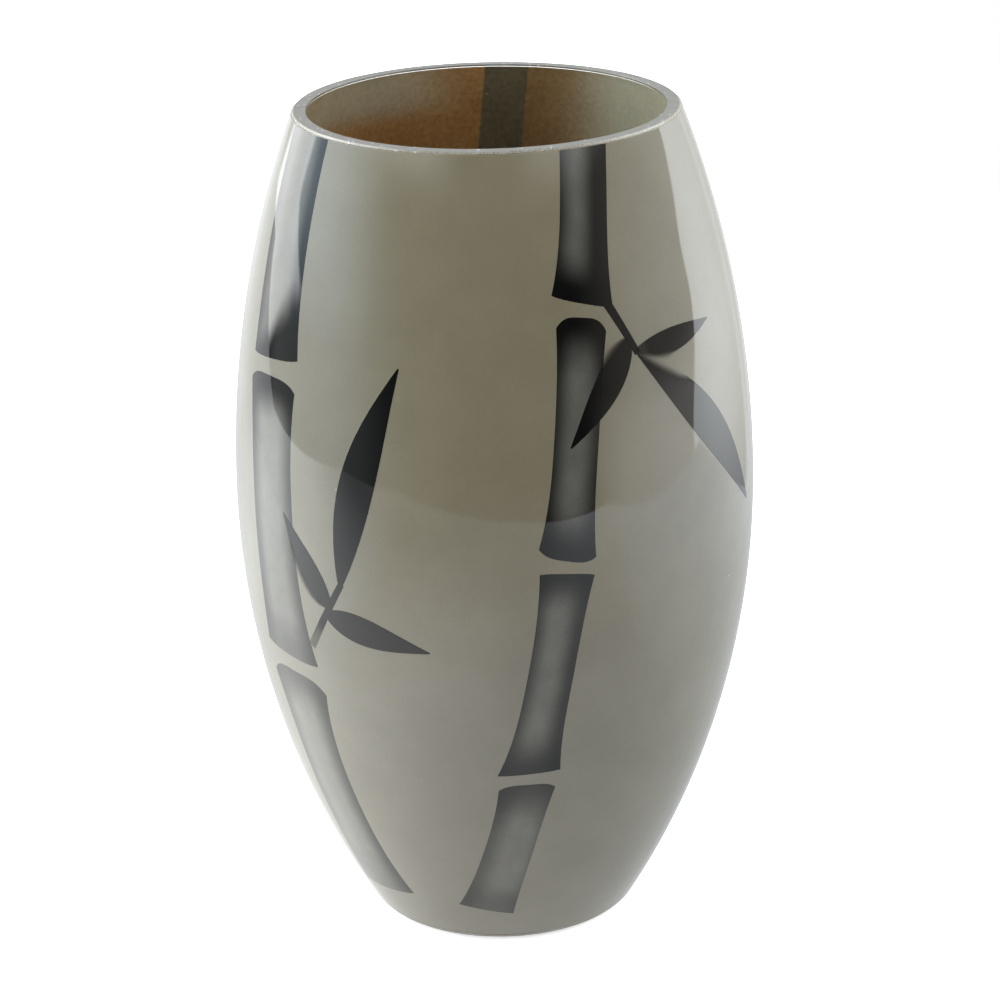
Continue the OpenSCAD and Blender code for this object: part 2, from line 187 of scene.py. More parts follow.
def film_piece(node, azimuth, across, rows, place, lift, material, marks):
    """Thin closed film on the coat.

    place(s, t) gives its drawing, for each s in across, where the outline is at -1 and 1,
    and for t along it from 0 to 1.
    """
    grid = [(s, t) for t in between(0.0, 1.0, rows) for s in across]
    drawn = [place(s, t) for s, t in grid]
    outer = [on_side(x, z, azimuth, COAT_T + lift) for x, z in drawn]
    inner = [on_side(x, z, azimuth, COAT_T - FILM_SINK) for x, z in drawn]
    wide = len(across)
    count = len(grid)
    faces = []
    for row in range(rows):
        for column in range(wide - 1):
            a = row * wide + column
            faces.append([a, a + 1, a + 1 + wide, a + wide])
    faces += [[count + k for k in reversed(face)] for face in faces]
    film_faces = len(faces)
    bottom = list(range(wide))
    right = [row * wide + wide - 1 for row in range(1, rows + 1)]
    top = [rows * wide + column for column in range(wide - 2, -1, -1)]
    left = [row * wide for row in range(rows - 1, 0, -1)]
    border = bottom + right + top + left
    for k, a in enumerate(border):
        b = border[k - 1]
        faces.append([a, b, count + b, count + a])
    smooth_faces = [True] * film_faces + [False] * len(border)
    piece = make_piece(f"{node}_spray", outer + inner, faces, [node], [material], [0] * len(faces),
                       smooth_faces)
    sharpen(piece, [border, [count + k for k in border]])
    for mark, value in marks.items():
        values = [value(s, t) for s, t in grid]
        set_marks(piece, mark, values + values)
    return piece


# Shader nodes
def srgb(red, green, blue):
    """Linear colour from the eight-bit values of a picture."""
    values = [c / 255 for c in (red, green, blue)]
    linear = [c / 12.92 if c <= 0.04045 else ((c + 0.055) / 1.055) ** 2.4 for c in values]
    return (*linear, 1.0)


NOISE_LOW = 0.3
NOISE_MIDDLE = 0.5
NOISE_HIGH = 0.7


class Tree:
    """Short calls that add nodes to one shader tree and give back what they put out."""

    def __init__(self, tree):
        self.tree = tree
        tree.nodes.clear()

    def put(self, socket, value):
        if isinstance(value, bpy.types.NodeSocket):
            self.tree.links.new(value, socket)
        else:
            socket.default_value = value

    def add(self, kind, inputs=None, **settings):
        node = self.tree.nodes.new(kind)
        for name, value in settings.items():
            setattr(node, name, value)
        for name, value in (inputs or {}).items():
            self.put(node.inputs[name], value)
        return node

    def calc(self, operation, *values):
        node = self.add("ShaderNodeMath", operation=operation)
        for k, value in enumerate(values):
            self.put(node.inputs[k], value)
        return node.outputs[0]

    def times(self, first, *rest):
        result = first
        for value in rest:
            result = self.calc("MULTIPLY", result, value)
        return result

    def plus(self, first, *rest):
        result = first
        for value in rest:
            result = self.calc("ADD", result, value)
        return result

    def blend(self, *parts):
        """Sum of values, each given with its share."""
        return self.plus(*[self.times(value, share) for value, share in parts])

    def step(self, value, low, high, start=0.0, end=1.0):
        """Smooth step of a value from start at low to end at high."""
        inputs = {"Value": value, "From Min": low, "From Max": high, "To Min": start, "To Max": end}
        return self.add("ShaderNodeMapRange", inputs, interpolation_type="SMOOTHSTEP").outputs["Result"]

    def spread(self, noise, start=0.0, end=1.0):
        """Spreads noise, most of which lies in the middle of its range, from start to end."""
        return self.step(noise, NOISE_LOW, NOISE_HIGH, start, end)

    def mix(self, factor, first, second):
        """Mix of two colours, by the node's sockets for colours."""
        node = self.add("ShaderNodeMix", data_type="RGBA")
        self.put(node.inputs[0], factor)
        self.put(node.inputs[6], first)
        self.put(node.inputs[7], second)
        return node.outputs[2]

    def scaled(self, colour, factor):
        node = self.add("ShaderNodeVectorMath", operation="SCALE")
        self.put(node.inputs[0], colour[:3] if isinstance(colour, tuple) else colour)
        self.put(node.inputs["Scale"], factor)
        return node.outputs[0]

    def summed(self, first, *rest):
        result = first
        for value in rest:
            node = self.add("ShaderNodeVectorMath", operation="ADD")
            self.put(node.inputs[0], result)
            self.put(node.inputs[1], value)
            result = node.outputs[0]
        return result

    def place(self):
        return self.add("ShaderNodeTexCoord").outputs["Object"]

    def coordinates(self):
        """The X, Y and Z of a point in metres."""
        return self.add("ShaderNodeSeparateXYZ", {"Vector": self.place()}).outputs

    def noise(self, size_mm, detail=2.0, roughness=0.5):
        """Noise whose features are about size_mm across, from 0 to 1."""
        inputs = {"Vector": self.place(), "Scale": 1 / (size_mm * MM)}
        inputs.update({"Detail": detail, "Roughness": roughness})
        return self.add("ShaderNodeTexNoise", inputs).outputs[0]

    def specks(self, cell_mm, size_mm, share):
        """1 on small specks, in that share of the cells of a random grid, and 0 elsewhere."""
        inputs = {"Vector": self.place(), "Scale": 1 / (cell_mm * MM)}
        cells = self.add("ShaderNodeTexVoronoi", inputs)
        random = self.add("ShaderNodeSeparateColor", {"Color": cells.outputs["Color"]}).outputs["Red"]
        close = self.step(cells.outputs["Distance"], size_mm / cell_mm, 0.5 * size_mm / cell_mm)
        chosen = self.calc("LESS_THAN", random, share)
        return self.times(close, chosen)

    def mark(self, name):
        return self.add("ShaderNodeAttribute", attribute_name=name).outputs["Fac"]

    def bump(self, height, distance_mm):
        inputs = {"Height": height, "Strength": 1.0, "Distance": distance_mm * MM}
        return self.add("ShaderNodeBump", inputs).outputs[0]

    def principled(self, **inputs):
        node = self.add("ShaderNodeBsdfPrincipled")
        for name, value in inputs.items():
            self.put(node.inputs[name.replace("_", " ")], value)
        return node.outputs[0]

    def surface(self, shader):
        self.add("ShaderNodeOutputMaterial", {"Surface": shader})


def new_material(name):
    material = bpy.data.materials.new(name)
    material.use_nodes = True
    return material, Tree(material.node_tree)


# Glass
GLASS_IOR = 1.5
GLASS_DIM = (0.95, 0.96, 0.95, 1.0)
GLASS_CLEAR = (0.99, 0.99, 0.98, 1.0)
GLASS_SHADE = (0.96, 0.97, 0.96, 1.0)
CHIP_WHITE = (0.95, 0.95, 0.93, 1.0)
GROUND_CLEARNESS = 0.2


def lets_light_through(tree, shader):
    """Glass that light shines straight through, so that what is behind it is lit."""
    shadow = tree.add("ShaderNodeLightPath").outputs["Is Shadow Ray"]
    clear = tree.add("ShaderNodeBsdfTransparent", {"Color": GLASS_SHADE}).outputs[0]
    mixed = tree.add("ShaderNodeMixShader", {"Fac": shadow})
    tree.put(mixed.inputs[1], shader)
    tree.put(mixed.inputs[2], clear)
    return mixed.outputs[0]


def polished_glass():
    material, tree = new_material("polished_glass")
    smudge = tree.noise(18.0, 4.0)
    shader = tree.principled(
        Base_Color=tree.mix(smudge, GLASS_DIM, GLASS_CLEAR),
        Roughness=tree.step(smudge, 0.45, 0.75, 0.0, 0.04),
        Normal=tree.bump(tree.noise(40.0, 1.0), 0.03),
        IOR=GLASS_IOR,
        Transmission_Weight=1.0)
    tree.surface(lets_light_through(tree, shader))
    return material


def ground_glass(name, dark, light, rough_low, rough_high):
    """Glass ground matt, with fine grain and small bright chips."""
    material, tree = new_material(name)
    grain = tree.noise(0.35, 2.0)
    cloud = tree.noise(6.0, 3.0)
    chips = tree.specks(1.6, 0.35, 0.25)
    tone = tree.blend((grain, 0.6), (cloud, 0.4))
    colour = tree.mix(tree.spread(tone), dark, light)
    shader = tree.principled(
        Base_Color=tree.mix(chips, colour, CHIP_WHITE),
        Roughness=tree.spread(grain, rough_low, rough_high),
        Normal=tree.bump(grain, 0.02),
        IOR=GLASS_IOR,
        Transmission_Weight=GROUND_CLEARNESS)
    tree.surface(lets_light_through(tree, shader))
    return material


# Lacquer, with places in metres where a change of colour starts and where it is full
TAUPE_DARK = srgb(122, 114, 93)
TAUPE_LIGHT = srgb(130, 122, 101)
# Painted cool light: greyer taupe at the foot, lit from the table, and at the sides, lit from the left and
# right
COOL_LIT_TAUPE_DARK = srgb(125, 121, 109)
COOL_LIT_TAUPE_LIGHT = srgb(133, 129, 117)
COOL_LIT_BELOW = (0.21, 0.09)
COOL_LIT_BESIDE = (0.02, 0.06)
DUST = srgb(205, 200, 180)
LONG_WAVE = 28.0
SHORT_WAVE = 2.5
SHORT_WAVE_SHARE = 0.02
WAVE_DEPTH = 0.035


def lacquer_waves(tree):
    """Normal of a sprayed coat: long waves and a trace of shorter ones."""
    short = tree.times(tree.noise(SHORT_WAVE, 2.0), SHORT_WAVE_SHARE)
    return tree.bump(tree.plus(tree.noise(LONG_WAVE, 1.0), short), WAVE_DEPTH)


def taupe_lacquer():
    """Glossy grey-brown lacquer with a few specks of dust in it, painted greyer at the foot and the sides as
    painted cool light.
    """
    material, tree = new_material("taupe_lacquer")
    cloud = tree.noise(30.0, 4.0, 0.6)
    grain = tree.noise(0.7, 2.0)
    dust = tree.specks(9.0, 0.28, 0.05)
    tone = tree.blend((cloud, 0.7), (grain, 0.3))
    across, _, height = tree.coordinates()
    # Painted cool light, greyer at the foot and at the sides
    low = tree.step(height, *COOL_LIT_BELOW)
    cool_lit_sides = tree.step(tree.calc("ABSOLUTE", across), *COOL_LIT_BESIDE)
    shade = tree.spread(tone)
    colour = tree.mix(tree.calc("MAXIMUM", low, cool_lit_sides), tree.mix(shade, TAUPE_DARK, TAUPE_LIGHT),
                      tree.mix(shade, COOL_LIT_TAUPE_DARK, COOL_LIT_TAUPE_LIGHT))
    shader = tree.principled(
        Base_Color=tree.mix(dust, colour, DUST),
        Roughness=tree.step(cloud, 0.3, 0.8, 0.03, 0.08),
        Normal=lacquer_waves(tree),
        IOR=GLASS_IOR)
    tree.surface(shader)
    return material


BROWN_DARK = srgb(156, 111, 63)
BROWN_LIGHT = srgb(194, 151, 98)
# Painted light: lighter taupe where daylight through the mouth falls on the wall, and under the rim at the
# left
LIT_TAUPE_INSIDE_DARK = srgb(184, 180, 157)
LIT_TAUPE_INSIDE_LIGHT = srgb(203, 200, 178)
INKED_DARK = srgb(98, 90, 68)
INKED_LIGHT = srgb(122, 113, 90)
DUST_INSIDE = srgb(225, 215, 195)
WINDOW_LIT_RIGHT = (0.02, 0.052)
RIM_LIT_LEFT = (0.0, -0.04)
RIM_LIT_HEIGHTS = (0.277, 0.289)
RIM_LIT_SHARE = 0.65
# Darker to the right of the middle of the wall
DARKER_FROM = (0.0, 0.014)
DARKER_TO = (0.05, 0.02)
DARKER_SHARE = 0.45


def lacquer_behind_glass():
    """The lacquer's first layer, seen from behind: brown and mottled, darker under the bamboo.

    Towards the right, and in a strip under the rim at the left, it is painted taupe as painted light:
    daylight through the mouth falls on the right of the wall, and light comes in through the rim. It is
    darker to the right of the middle.
    """
    material, tree = new_material("lacquer_behind_glass")
    mottle = tree.noise(1.8, 4.0, 0.6)
    cloud = tree.noise(24.0, 3.0)
    grain = tree.noise(0.6, 2.0)
    dust = tree.specks(7.0, 0.3, 0.06)
    tone = tree.spread(tree.blend((mottle, 0.5), (cloud, 0.3), (grain, 0.2)))
    across, _, height = tree.coordinates()
    # Painted light: lighter taupe at the right and in a strip under the rim at the left
    right = tree.step(across, *WINDOW_LIT_RIGHT)
    left = tree.step(across, *RIM_LIT_LEFT)
    rim_lit_strip = tree.times(left, tree.step(height, *RIM_LIT_HEIGHTS), RIM_LIT_SHARE)
    brown = tree.mix(tone, BROWN_DARK, BROWN_LIGHT)
    taupe = tree.mix(tone, LIT_TAUPE_INSIDE_DARK, LIT_TAUPE_INSIDE_LIGHT)
    bare = tree.mix(tree.calc("MAXIMUM", right, rim_lit_strip), brown, taupe)
    inked = tree.mix(tone, INKED_DARK, INKED_LIGHT)
    # Darker to the right of the middle of the wall
    darker_right_of_middle = tree.times(tree.step(across, *DARKER_FROM), tree.step(across, *DARKER_TO), DARKER_SHARE)
    dark = tree.calc("MAXIMUM", tree.step(tree.mark("ink_inside"), -0.6, 0.6), darker_right_of_middle)
    colour = tree.mix(dark, bare, inked)
    shader = tree.principled(
        Base_Color=tree.mix(dust, colour, DUST_INSIDE),
        Roughness=tree.spread(grain, 0.5, 0.7),
        Normal=tree.bump(mottle, 0.05),
        Specular_IOR_Level=0.1)
    tree.surface(shader)
    return material


# Spray
BLACK_SPRAY = srgb(12, 12, 12)
BLACK_SPRAY_LIGHT = srgb(20, 20, 19)
SILVER_DARK = srgb(107, 105, 98)
SILVER_LIGHT = srgb(120, 118, 111)
SILVER_METAL = 0.25
CLEAR_GLOSS = 0.03
SPECKLE_SHARE = 0.3
PATCH_SHARE = 0.35


def bamboo_spray(name, with_silver):
    """Airbrushed paint under a clear gloss.

    Mark cover says how dense it lies, and mark silver how silvery it is.
    """
    material, tree = new_material(name)
    grain = tree.noise(0.45, 2.0)
    black = tree.mix(grain, BLACK_SPRAY, BLACK_SPRAY_LIGHT)
    waves = lacquer_waves(tree)
    inputs = dict(
        Base_Color=black,
        Roughness=tree.spread(grain, 0.4, 0.5),
        Normal=waves,
        Coat_Normal=waves,
        Specular_IOR_Level=0.0,
        Coat_Weight=1.0,
        Coat_Roughness=CLEAR_GLOSS,
        Coat_IOR=GLASS_IOR)
    speckle = tree.plus(grain, -NOISE_MIDDLE)
    if with_silver:
        cloud = tree.noise(9.0, 3.0)
        tone = tree.blend((grain, 0.5), (cloud, 0.5))
        silver = tree.mix(tone, SILVER_DARK, SILVER_LIGHT)
        patch = tree.plus(cloud, -NOISE_MIDDLE)
        uneven = tree.plus(1.0, tree.times(speckle, SPECKLE_SHARE), tree.times(patch, PATCH_SHARE))
        amount = tree.times(tree.mark("silver"), uneven)
        share = tree.add("ShaderNodeClamp", {"Value": amount}).outputs[0]
        inputs["Base_Color"] = tree.mix(share, black, silver)
        inputs["Metallic"] = tree.times(share, SILVER_METAL)
    else:
        cover = tree.mark("cover")
        thin = tree.times(cover, tree.calc("SUBTRACT", 1.0, cover))
        inputs["Alpha"] = tree.plus(cover, tree.times(speckle, thin))
    tree.surface(tree.principled(**inputs))
    return material


# Outline of the vessel
SIDE_STEP = 3.0
HOLLOW_STEPS = 12
FOOT_STEPS = 10
FLOOR_ROUND_STEPS = 16
FLOOR_STEPS = 10
RIM_STEPS = 4


def side_points(depth, low_z, top_z, step_mm):
    steps = math.ceil((top_z - low_z) / step_mm)
    return [(side_r(z, depth), z) for z in between(low_z, top_z, steps)]


def rounded_foot(depth, low_z, round_r, steps):
    """Points of a quarter-round from a floor at low_z into the side."""
    reach = LOWER_ARC_R + depth - round_r
    drop = BELLY_Z - low_z - round_r
    centre_r = BELLY_R - LOWER_ARC_R + math.sqrt(reach ** 2 - drop ** 2)
    centre_z = low_z + round_r
    end = -math.asin(drop / reach)
    angles = between(-math.pi / 2, end, steps)
    return [(centre_r + round_r * math.cos(a), centre_z + round_r * math.sin(a)) for a in angles]


def vessel_runs():
    polished, ground, outer_bevel, inner_bevel = 0, 1, 2, 3
    hollow_arc_r = (HOLLOW_R ** 2 + HOLLOW_DEPTH ** 2) / (2 * HOLLOW_DEPTH)
    hollow_low = HOLLOW_DEPTH - hollow_arc_r
    hollow_rs = between(0.0, HOLLOW_R, HOLLOW_STEPS)
    hollow = [(r, hollow_low + math.sqrt(hollow_arc_r ** 2 - r * r)) for r in hollow_rs]
    foot = rounded_foot(0.0, 0.0, FOOT_ROUND, FOOT_STEPS)
    outer_top = HEIGHT - OUTER_BEVEL_DEPTH
    outside = foot + side_points(0.0, foot[-1][1], outer_top, SIDE_STEP)[1:]
    inner_edge = side_r(HEIGHT, -WALL) + INNER_BEVEL
    inner_top = HEIGHT - INNER_BEVEL_DEPTH
    floor = rounded_foot(-WALL, BASE_T, FLOOR_ROUND, FLOOR_ROUND_STEPS)
    inside = side_points(-WALL, floor[-1][1], inner_top, SIDE_STEP)[1:]
    middle = [(r, BASE_T) for r in between(0.0, floor[0][0], FLOOR_STEPS)]
    return [
        (polished, hollow),
        (polished, [hollow[-1], foot[0]]),
        (polished, outside),
        (outer_bevel, [outside[-1], (RIM_R - OUTER_BEVEL, HEIGHT)]),
        (ground, [(r, HEIGHT) for r in between(RIM_R - OUTER_BEVEL, inner_edge, RIM_STEPS)]),
        (inner_bevel, [(inner_edge, HEIGHT), inside[-1]]),
        (polished, list(reversed(middle[:-1] + floor + inside))),
    ]


# Culms: lists go from the top internode down, and nodes are shares of the vase's height
CULMS = {
    "left": dict(azimuth=-57.5, lean=-3.0, nodes=[0.7366, 0.3774, 0.059], gap=BROAD_GAP,
                 waist=[26.2, 25.5, 25.0], top_w=[29.5, 30.0, 32.0], low_w=[29.5, 31.0, 29.0],
                 top_shift=[0.8, -0.5, 0.6], low_shift=[0.4, 0.3, 1.6],
                 top_slant=[0.0, -0.3, -1.0], top_bulge=[0.0, 3.3, 4.5],
                 low_slant=[0.9, -1.5, 1.3], low_bulge=[0.8, 1.0, 0.5],
                 names=["left_culm_top", "left_culm_middle", "left_culm_foot"]),
    "front": dict(azimuth=12.9, lean=7.1, nodes=[0.827, 0.5397, 0.266, 0.056], gap=SLIM_GAP,
                  waist=[16.8, 15.7, 16.0, 17.0],
                  top_w=[18.5, 17.8, 19.4, 19.5], low_w=[21.9, 20.5, 21.4, 19.3],
                  top_shift=[0.0, -0.1, 1.3, 0.0], low_shift=[0.0, 0.6, -0.6, -1.2],
                  top_slant=[0.0, -0.4, 0.1, 1.3], top_bulge=[0.0, 4.0, 0.5, 2.0],
                  low_slant=[-1.7, -1.2, 1.9, -0.9], low_bulge=[0.6, 2.7, 0.3, 0.3],
                  names=["front_culm_top", "front_culm_upper", "front_culm_lower", "front_culm_foot"]),
    "back": dict(azimuth=181.0, lean=-4.0, nodes=[0.79, 0.5, 0.24, 0.056], gap=SLIM_GAP,
                 waist=[16.5, 15.8, 16.0, 16.6],
                 top_w=[18.5, 18.2, 19.0, 19.2], low_w=[21.2, 20.6, 21.0, 20.4],
                 top_shift=[0.0, 0.3, -0.8, 0.4], low_shift=[0.0, -0.5, 0.6, 0.9],
                 top_slant=[0.0, 0.5, -0.8, 1.0], top_bulge=[0.0, 3.0, 1.5, 2.5],
                 low_slant=[1.2, -0.8, 1.5, -0.8], low_bulge=[1.0, 2.5, 0.6, 0.4],
                 names=["back_culm_top", "back_culm_upper", "back_culm_lower", "back_culm_foot"]),
}
HALVINGS = 40


def bow_at(s):
    return CULM_BOW * (1 - (2 * s / HEIGHT) ** 2)


def on_culm(x, s, lean):
    """Point of the culm's drawing that lies x across and s along the leaning culm."""
    c, n = math.cos(math.radians(lean)), math.sin(math.radians(lean))
    return x * c + s * n + bow_at(s), BELLY_Z - x * n + s * c


class Internode:
    """Shape of one internode of a culm, in millimetres across and along the culm."""

    def __init__(self, culm, index):
        heights = [share * HEIGHT for share in culm["nodes"]]
        is_foot = index == len(heights) - 1
        slope = math.cos(math.radians(culm["lean"]))
        self.lean = culm["lean"]
        self.azimuth = culm["azimuth"]
        self.name = culm["names"][index]
        self.waist = culm["waist"][index]
        self.top_w = culm["top_w"][index]
        self.low_w = culm["low_w"][index]
        self.top_shift = culm["top_shift"][index]
        self.low_shift = culm["low_shift"][index]
        self.meets_rim = index == 0
        half_gap = culm["gap"] / 2
        top_z = HEIGHT + OVERRUN if self.meets_rim else heights[index - 1] - half_gap
        low_z = heights[index] + (0 if is_foot else half_gap)
        self.top = (top_z - BELLY_Z) / slope
        self.low = (low_z - BELLY_Z) / slope
        self.top_slant = culm["top_slant"][index]
        self.low_slant = culm["low_slant"][index]
        self.top_bulge = culm["top_bulge"][index]
        self.low_bulge = culm["low_bulge"][index]

    def half_width(self, t):
        end_w = self.low_w if t < 0.5 else self.top_w
        return self.waist / 2 + abs(2 * t - 1) ** FLARE_POWER * (end_w - self.waist) / 2

    def shift(self, t):
        return self.low_shift + t * (self.top_shift - self.low_shift)

    def low_line(self, s):
        return self.low + self.low_slant * s + self.low_bulge * abs(s) ** BULGE_POWER

    def top_line(self, s):
        return self.top + self.top_slant * s - self.top_bulge * abs(s) ** BULGE_POWER

    def whole(self, s, t):
        """Point of the drawing, as if the rim did not cut the internode."""
        along = self.low_line(s) + t * (self.top_line(s) - self.low_line(s))
        return on_culm(self.shift(t) + s * self.half_width(t), along, self.lean)

    def rim_share(self, s):
        """Share of the internode's length at which the rim cuts it."""
        if not self.meets_rim:
            return 1.0
        low, high = 0.0, 1.0
        for _ in range(HALVINGS):
            middle = (low + high) / 2
            if self.whole(s, middle)[1] < COAT_TOP_Z:
                low = middle
            else:
                high = middle
        return low

    def place(self, s, t):
        return self.whole(s, t * self.rim_share(s))

    def inside(self, azimuth, z):
        """How far in millimetres a point of the side lies inside the internode's outline."""
        turn = math.radians(azimuth - self.azimuth)
        if math.cos(turn) <= 0:
            return -HEIGHT
        x = side_r(z, COAT_T) * math.sin(turn)
        c, n = math.cos(math.radians(self.lean)), math.sin(math.radians(self.lean))
        rise = z - BELLY_Z
        across = x - bow_at(rise / c)
        side, along = across * c - rise * n, across * n + rise * c
        t = min(max((along - self.low) / (self.top - self.low), 0.0), 1.0)
        half = self.half_width(t)
        off = side - self.shift(t)
        s = min(max(off / half, -1.0), 1.0)
        return min(half - abs(off), along - self.low_line(s), self.top_line(s) - along)


# Sprigs: the twig's root, length and direction in degrees, then lists for the three leaves
SPRIGS = {
    "left": dict(azimuth=-36.0, at=0.416, root_out=15.3, twig_l=20.0, twig_dir=59.0, twig_stub=12.0,
                 names=["left_leaf_tall", "left_leaf_short", "left_leaf_low"],
                 l=[81.9, 36.5, 40.0], start=[11.0, 0.0, -3.2], w=[12.6, 7.8, 9.8],
                 dir=[74.9, 124.7, -11.8], bow=[2.4, -0.1, -0.1], skew=[0.86, 0.65, 0.7]),
    "front": dict(azimuth=45.0, at=0.8367, root_out=7.5, twig_l=21.0, twig_dir=-65.0, twig_stub=0.9,
                  names=["front_leaf_up", "front_leaf_long", "front_leaf_down"],
                  l=[37.1, 91.1, 41.4], start=[0.0, 0.0, -5.0], w=[7.2, 13.0, 8.4],
                  dir=[4.4, -49.3, -126.5], bow=[-0.7, 2.6, 0.4], skew=[0.82, 0.97, 0.7]),
    "back": dict(azimuth=203.0, at=0.55, root_out=8.0, twig_l=20.0, twig_dir=56.0, twig_stub=10.0,
                 names=["back_leaf_tall", "back_leaf_short", "back_leaf_low"],
                 l=[74.0, 36.0, 42.0], start=[9.0, 0.0, -2.5], w=[12.5, 8.0, 9.5],
                 dir=[77.0, 127.0, -14.0], bow=[1.0, 0.0, 1.5], skew=[1.1, 0.85, 0.8]),
}


class Stroke:
    """A twig or leaf of a sprig: a stroke from a start point in a direction, in the sprig's own drawing."""

    def __init__(self, name, azimuth, start, length, direction, middle, half):
        self.name = name
        self.azimuth = azimuth
        self.start = start
        self.length = length
        self.cos = math.cos(math.radians(direction))
        self.sin = math.sin(math.radians(direction))
        self.middle = middle
        self.half = half

    def at(self, x, y):
        return self.start[0] + x * self.cos - y * self.sin, self.start[1] + x * self.sin + y * self.cos

    def place(self, s, t):
        return self.at(t * self.length, self.middle(t) + s * self.half(t))

    def inside(self, azimuth, z):
        """How far in millimetres a point of the side lies inside the stroke's outline."""
        turn = math.radians(azimuth - self.azimuth)
        if math.cos(turn) <= 0:
            return -HEIGHT
        x = side_r(z, COAT_T) * math.sin(turn) - self.start[0]
        y = z - self.start[1]
        along, across = x * self.cos + y * self.sin, y * self.cos - x * self.sin
        t = min(max(along / self.length, 0.0), 1.0)
        return min(self.half(t) - abs(across - self.middle(t)), along, self.length - along)


def sprig_strokes(side):
    """The twig of a sprig, then its three leaves."""
    culm, sprig = CULMS[side], SPRIGS[side]
    z = sprig["at"] * HEIGHT
    r = side_r(z, COAT_T)
    middle = on_culm(0, (z - BELLY_Z) / math.cos(math.radians(culm["lean"])), culm["lean"])[0]
    root_azimuth = math.radians(culm["azimuth"]) + math.asin((middle + sprig["root_out"]) / r)
    root = (r * math.sin(root_azimuth - math.radians(sprig["azimuth"])), z)
    twig_l = sprig["twig_l"]

    def twig_half(t):
        return (TWIG_ROOT_W + t * (TWIG_FORK_W - TWIG_ROOT_W)) / 2

    twig = Stroke(f"{side}_twig", sprig["azimuth"], root, twig_l + sprig["twig_stub"], sprig["twig_dir"],
                  lambda t: 0.0, twig_half)
    strokes = [twig]
    for k, name in enumerate(sprig["names"]):
        def leaf_middle(t, bow=sprig["bow"][k]):
            return bow * math.sin(math.pi * t)

        def leaf_half(t, w=sprig["w"][k], skew=sprig["skew"][k]):
            return math.sin(math.pi * t ** skew) * w / 2 + ((1 - t) * STALK_W + t * TIP_W) / 2

        start = twig.at(twig_l + sprig["start"][k], 0.0)
        strokes.append(Stroke(name, sprig["azimuth"], start, sprig["l"][k], sprig["dir"][k],
                              leaf_middle, leaf_half))
    return strokes


internodes = [Internode(culm, k) for culm in CULMS.values() for k in range(len(culm["names"]))]
strokes = {side: sprig_strokes(side) for side in SPRIGS}
inked_shapes = internodes + [stroke for sprig in strokes.values() for stroke in sprig]

# The turned pieces
VESSEL_SEGMENTS = 288
glass = polished_glass()
rim_glass = ground_glass("ground_rim", dark=srgb(92, 92, 88), light=srgb(112, 111, 106),
                         rough_low=0.35, rough_high=0.5)
# Outer bevel: ground glass, painted lighter than the rim top as a painted highlight along the outer edge
highlit_bevel_glass = ground_glass("outer_bevel", dark=srgb(130, 125, 113), light=srgb(164, 159, 146),
                           rough_low=0.2, rough_high=0.4)
inner_glass = ground_glass("inner_bevel", dark=srgb(80, 76, 63), light=srgb(104, 99, 83),
                           rough_low=0.3, rough_high=0.45)
turned_piece("glass_vessel", vessel_runs(), VESSEL_SEGMENTS, ["glass_body"],
             [glass, rim_glass, highlit_bevel_glass, inner_glass])

COAT_SEGMENTS = 240
COAT_STEP = 2.2
INK_REACH = 2 * COAT_STEP
coat_outside = side_points(COAT_T, COAT_LOW_Z, COAT_TOP_Z, COAT_STEP)
coat_inside = side_points(-COAT_SINK, COAT_LOW_Z, COAT_TOP_Z, COAT_STEP)
coat = turned_piece(
    "lacquer_coat",
    [(0, coat_outside), (0, [coat_outside[-1], coat_inside[-1]]), (1, list(reversed(coat_inside)))],
    COAT_SEGMENTS, ["taupe_coat"], [taupe_lacquer(), lacquer_behind_glass()])


def ink_at(point):
    """How far inside the sprayed outlines a point of the coat lies, in millimetres."""
    azimuth = math.degrees(math.atan2(point.x, -point.y))
    z = min(max(point.z / MM, COAT_LOW_Z), COAT_TOP_Z)
    return max(shape.inside(azimuth, z) for shape in inked_shapes)


set_marks(coat, "ink_inside", [max(ink_at(v.co), -INK_REACH) for v in coat.data.vertices])

# The culms: silver towards the middle, black along the edges and at the nodes
culm_spray = bamboo_spray("culm_spray", True)
leaf_spray = bamboo_spray("leaf_spray", False)
CULM_ACROSS = between(-1.0, 1.0, 24)
CULM_ROW = 2.0


class Silver:
    """How silvery an internode is, from 0 to 1.

    Across, the silver is full within plateau of its centre and falls to edge at reach. Along, it rises from
    level to full between two distances in millimetres from the lower and the upper end: (near, far, level).
    With a lean, the black of the lower end reaches that much higher at the right edge than at the left.
    """

    def __init__(self, full, centre, plateau, reach, edge, low_end, top_end, lean=0.0):
        self.full = full
        self.centre = centre
        self.plateau = plateau
        self.reach = reach
        self.edge = edge
        self.low_end = low_end
        self.top_end = top_end
        self.lean = lean

    def rise(self, distance, end):
        near, far, level = end
        return level + (1 - level) * smooth(distance, near, far)

    def value(self, internode, s, t):
        length = internode.top_line(s) - internode.low_line(s)
        above = t * internode.rim_share(s) * length
        across = self.edge + (self.full - self.edge) * smooth(abs(s - self.centre), self.reach, self.plateau)
        black = self.lean * (s + 1) / 2
        return across * self.rise(above - black, self.low_end) * self.rise(length - above, self.top_end)


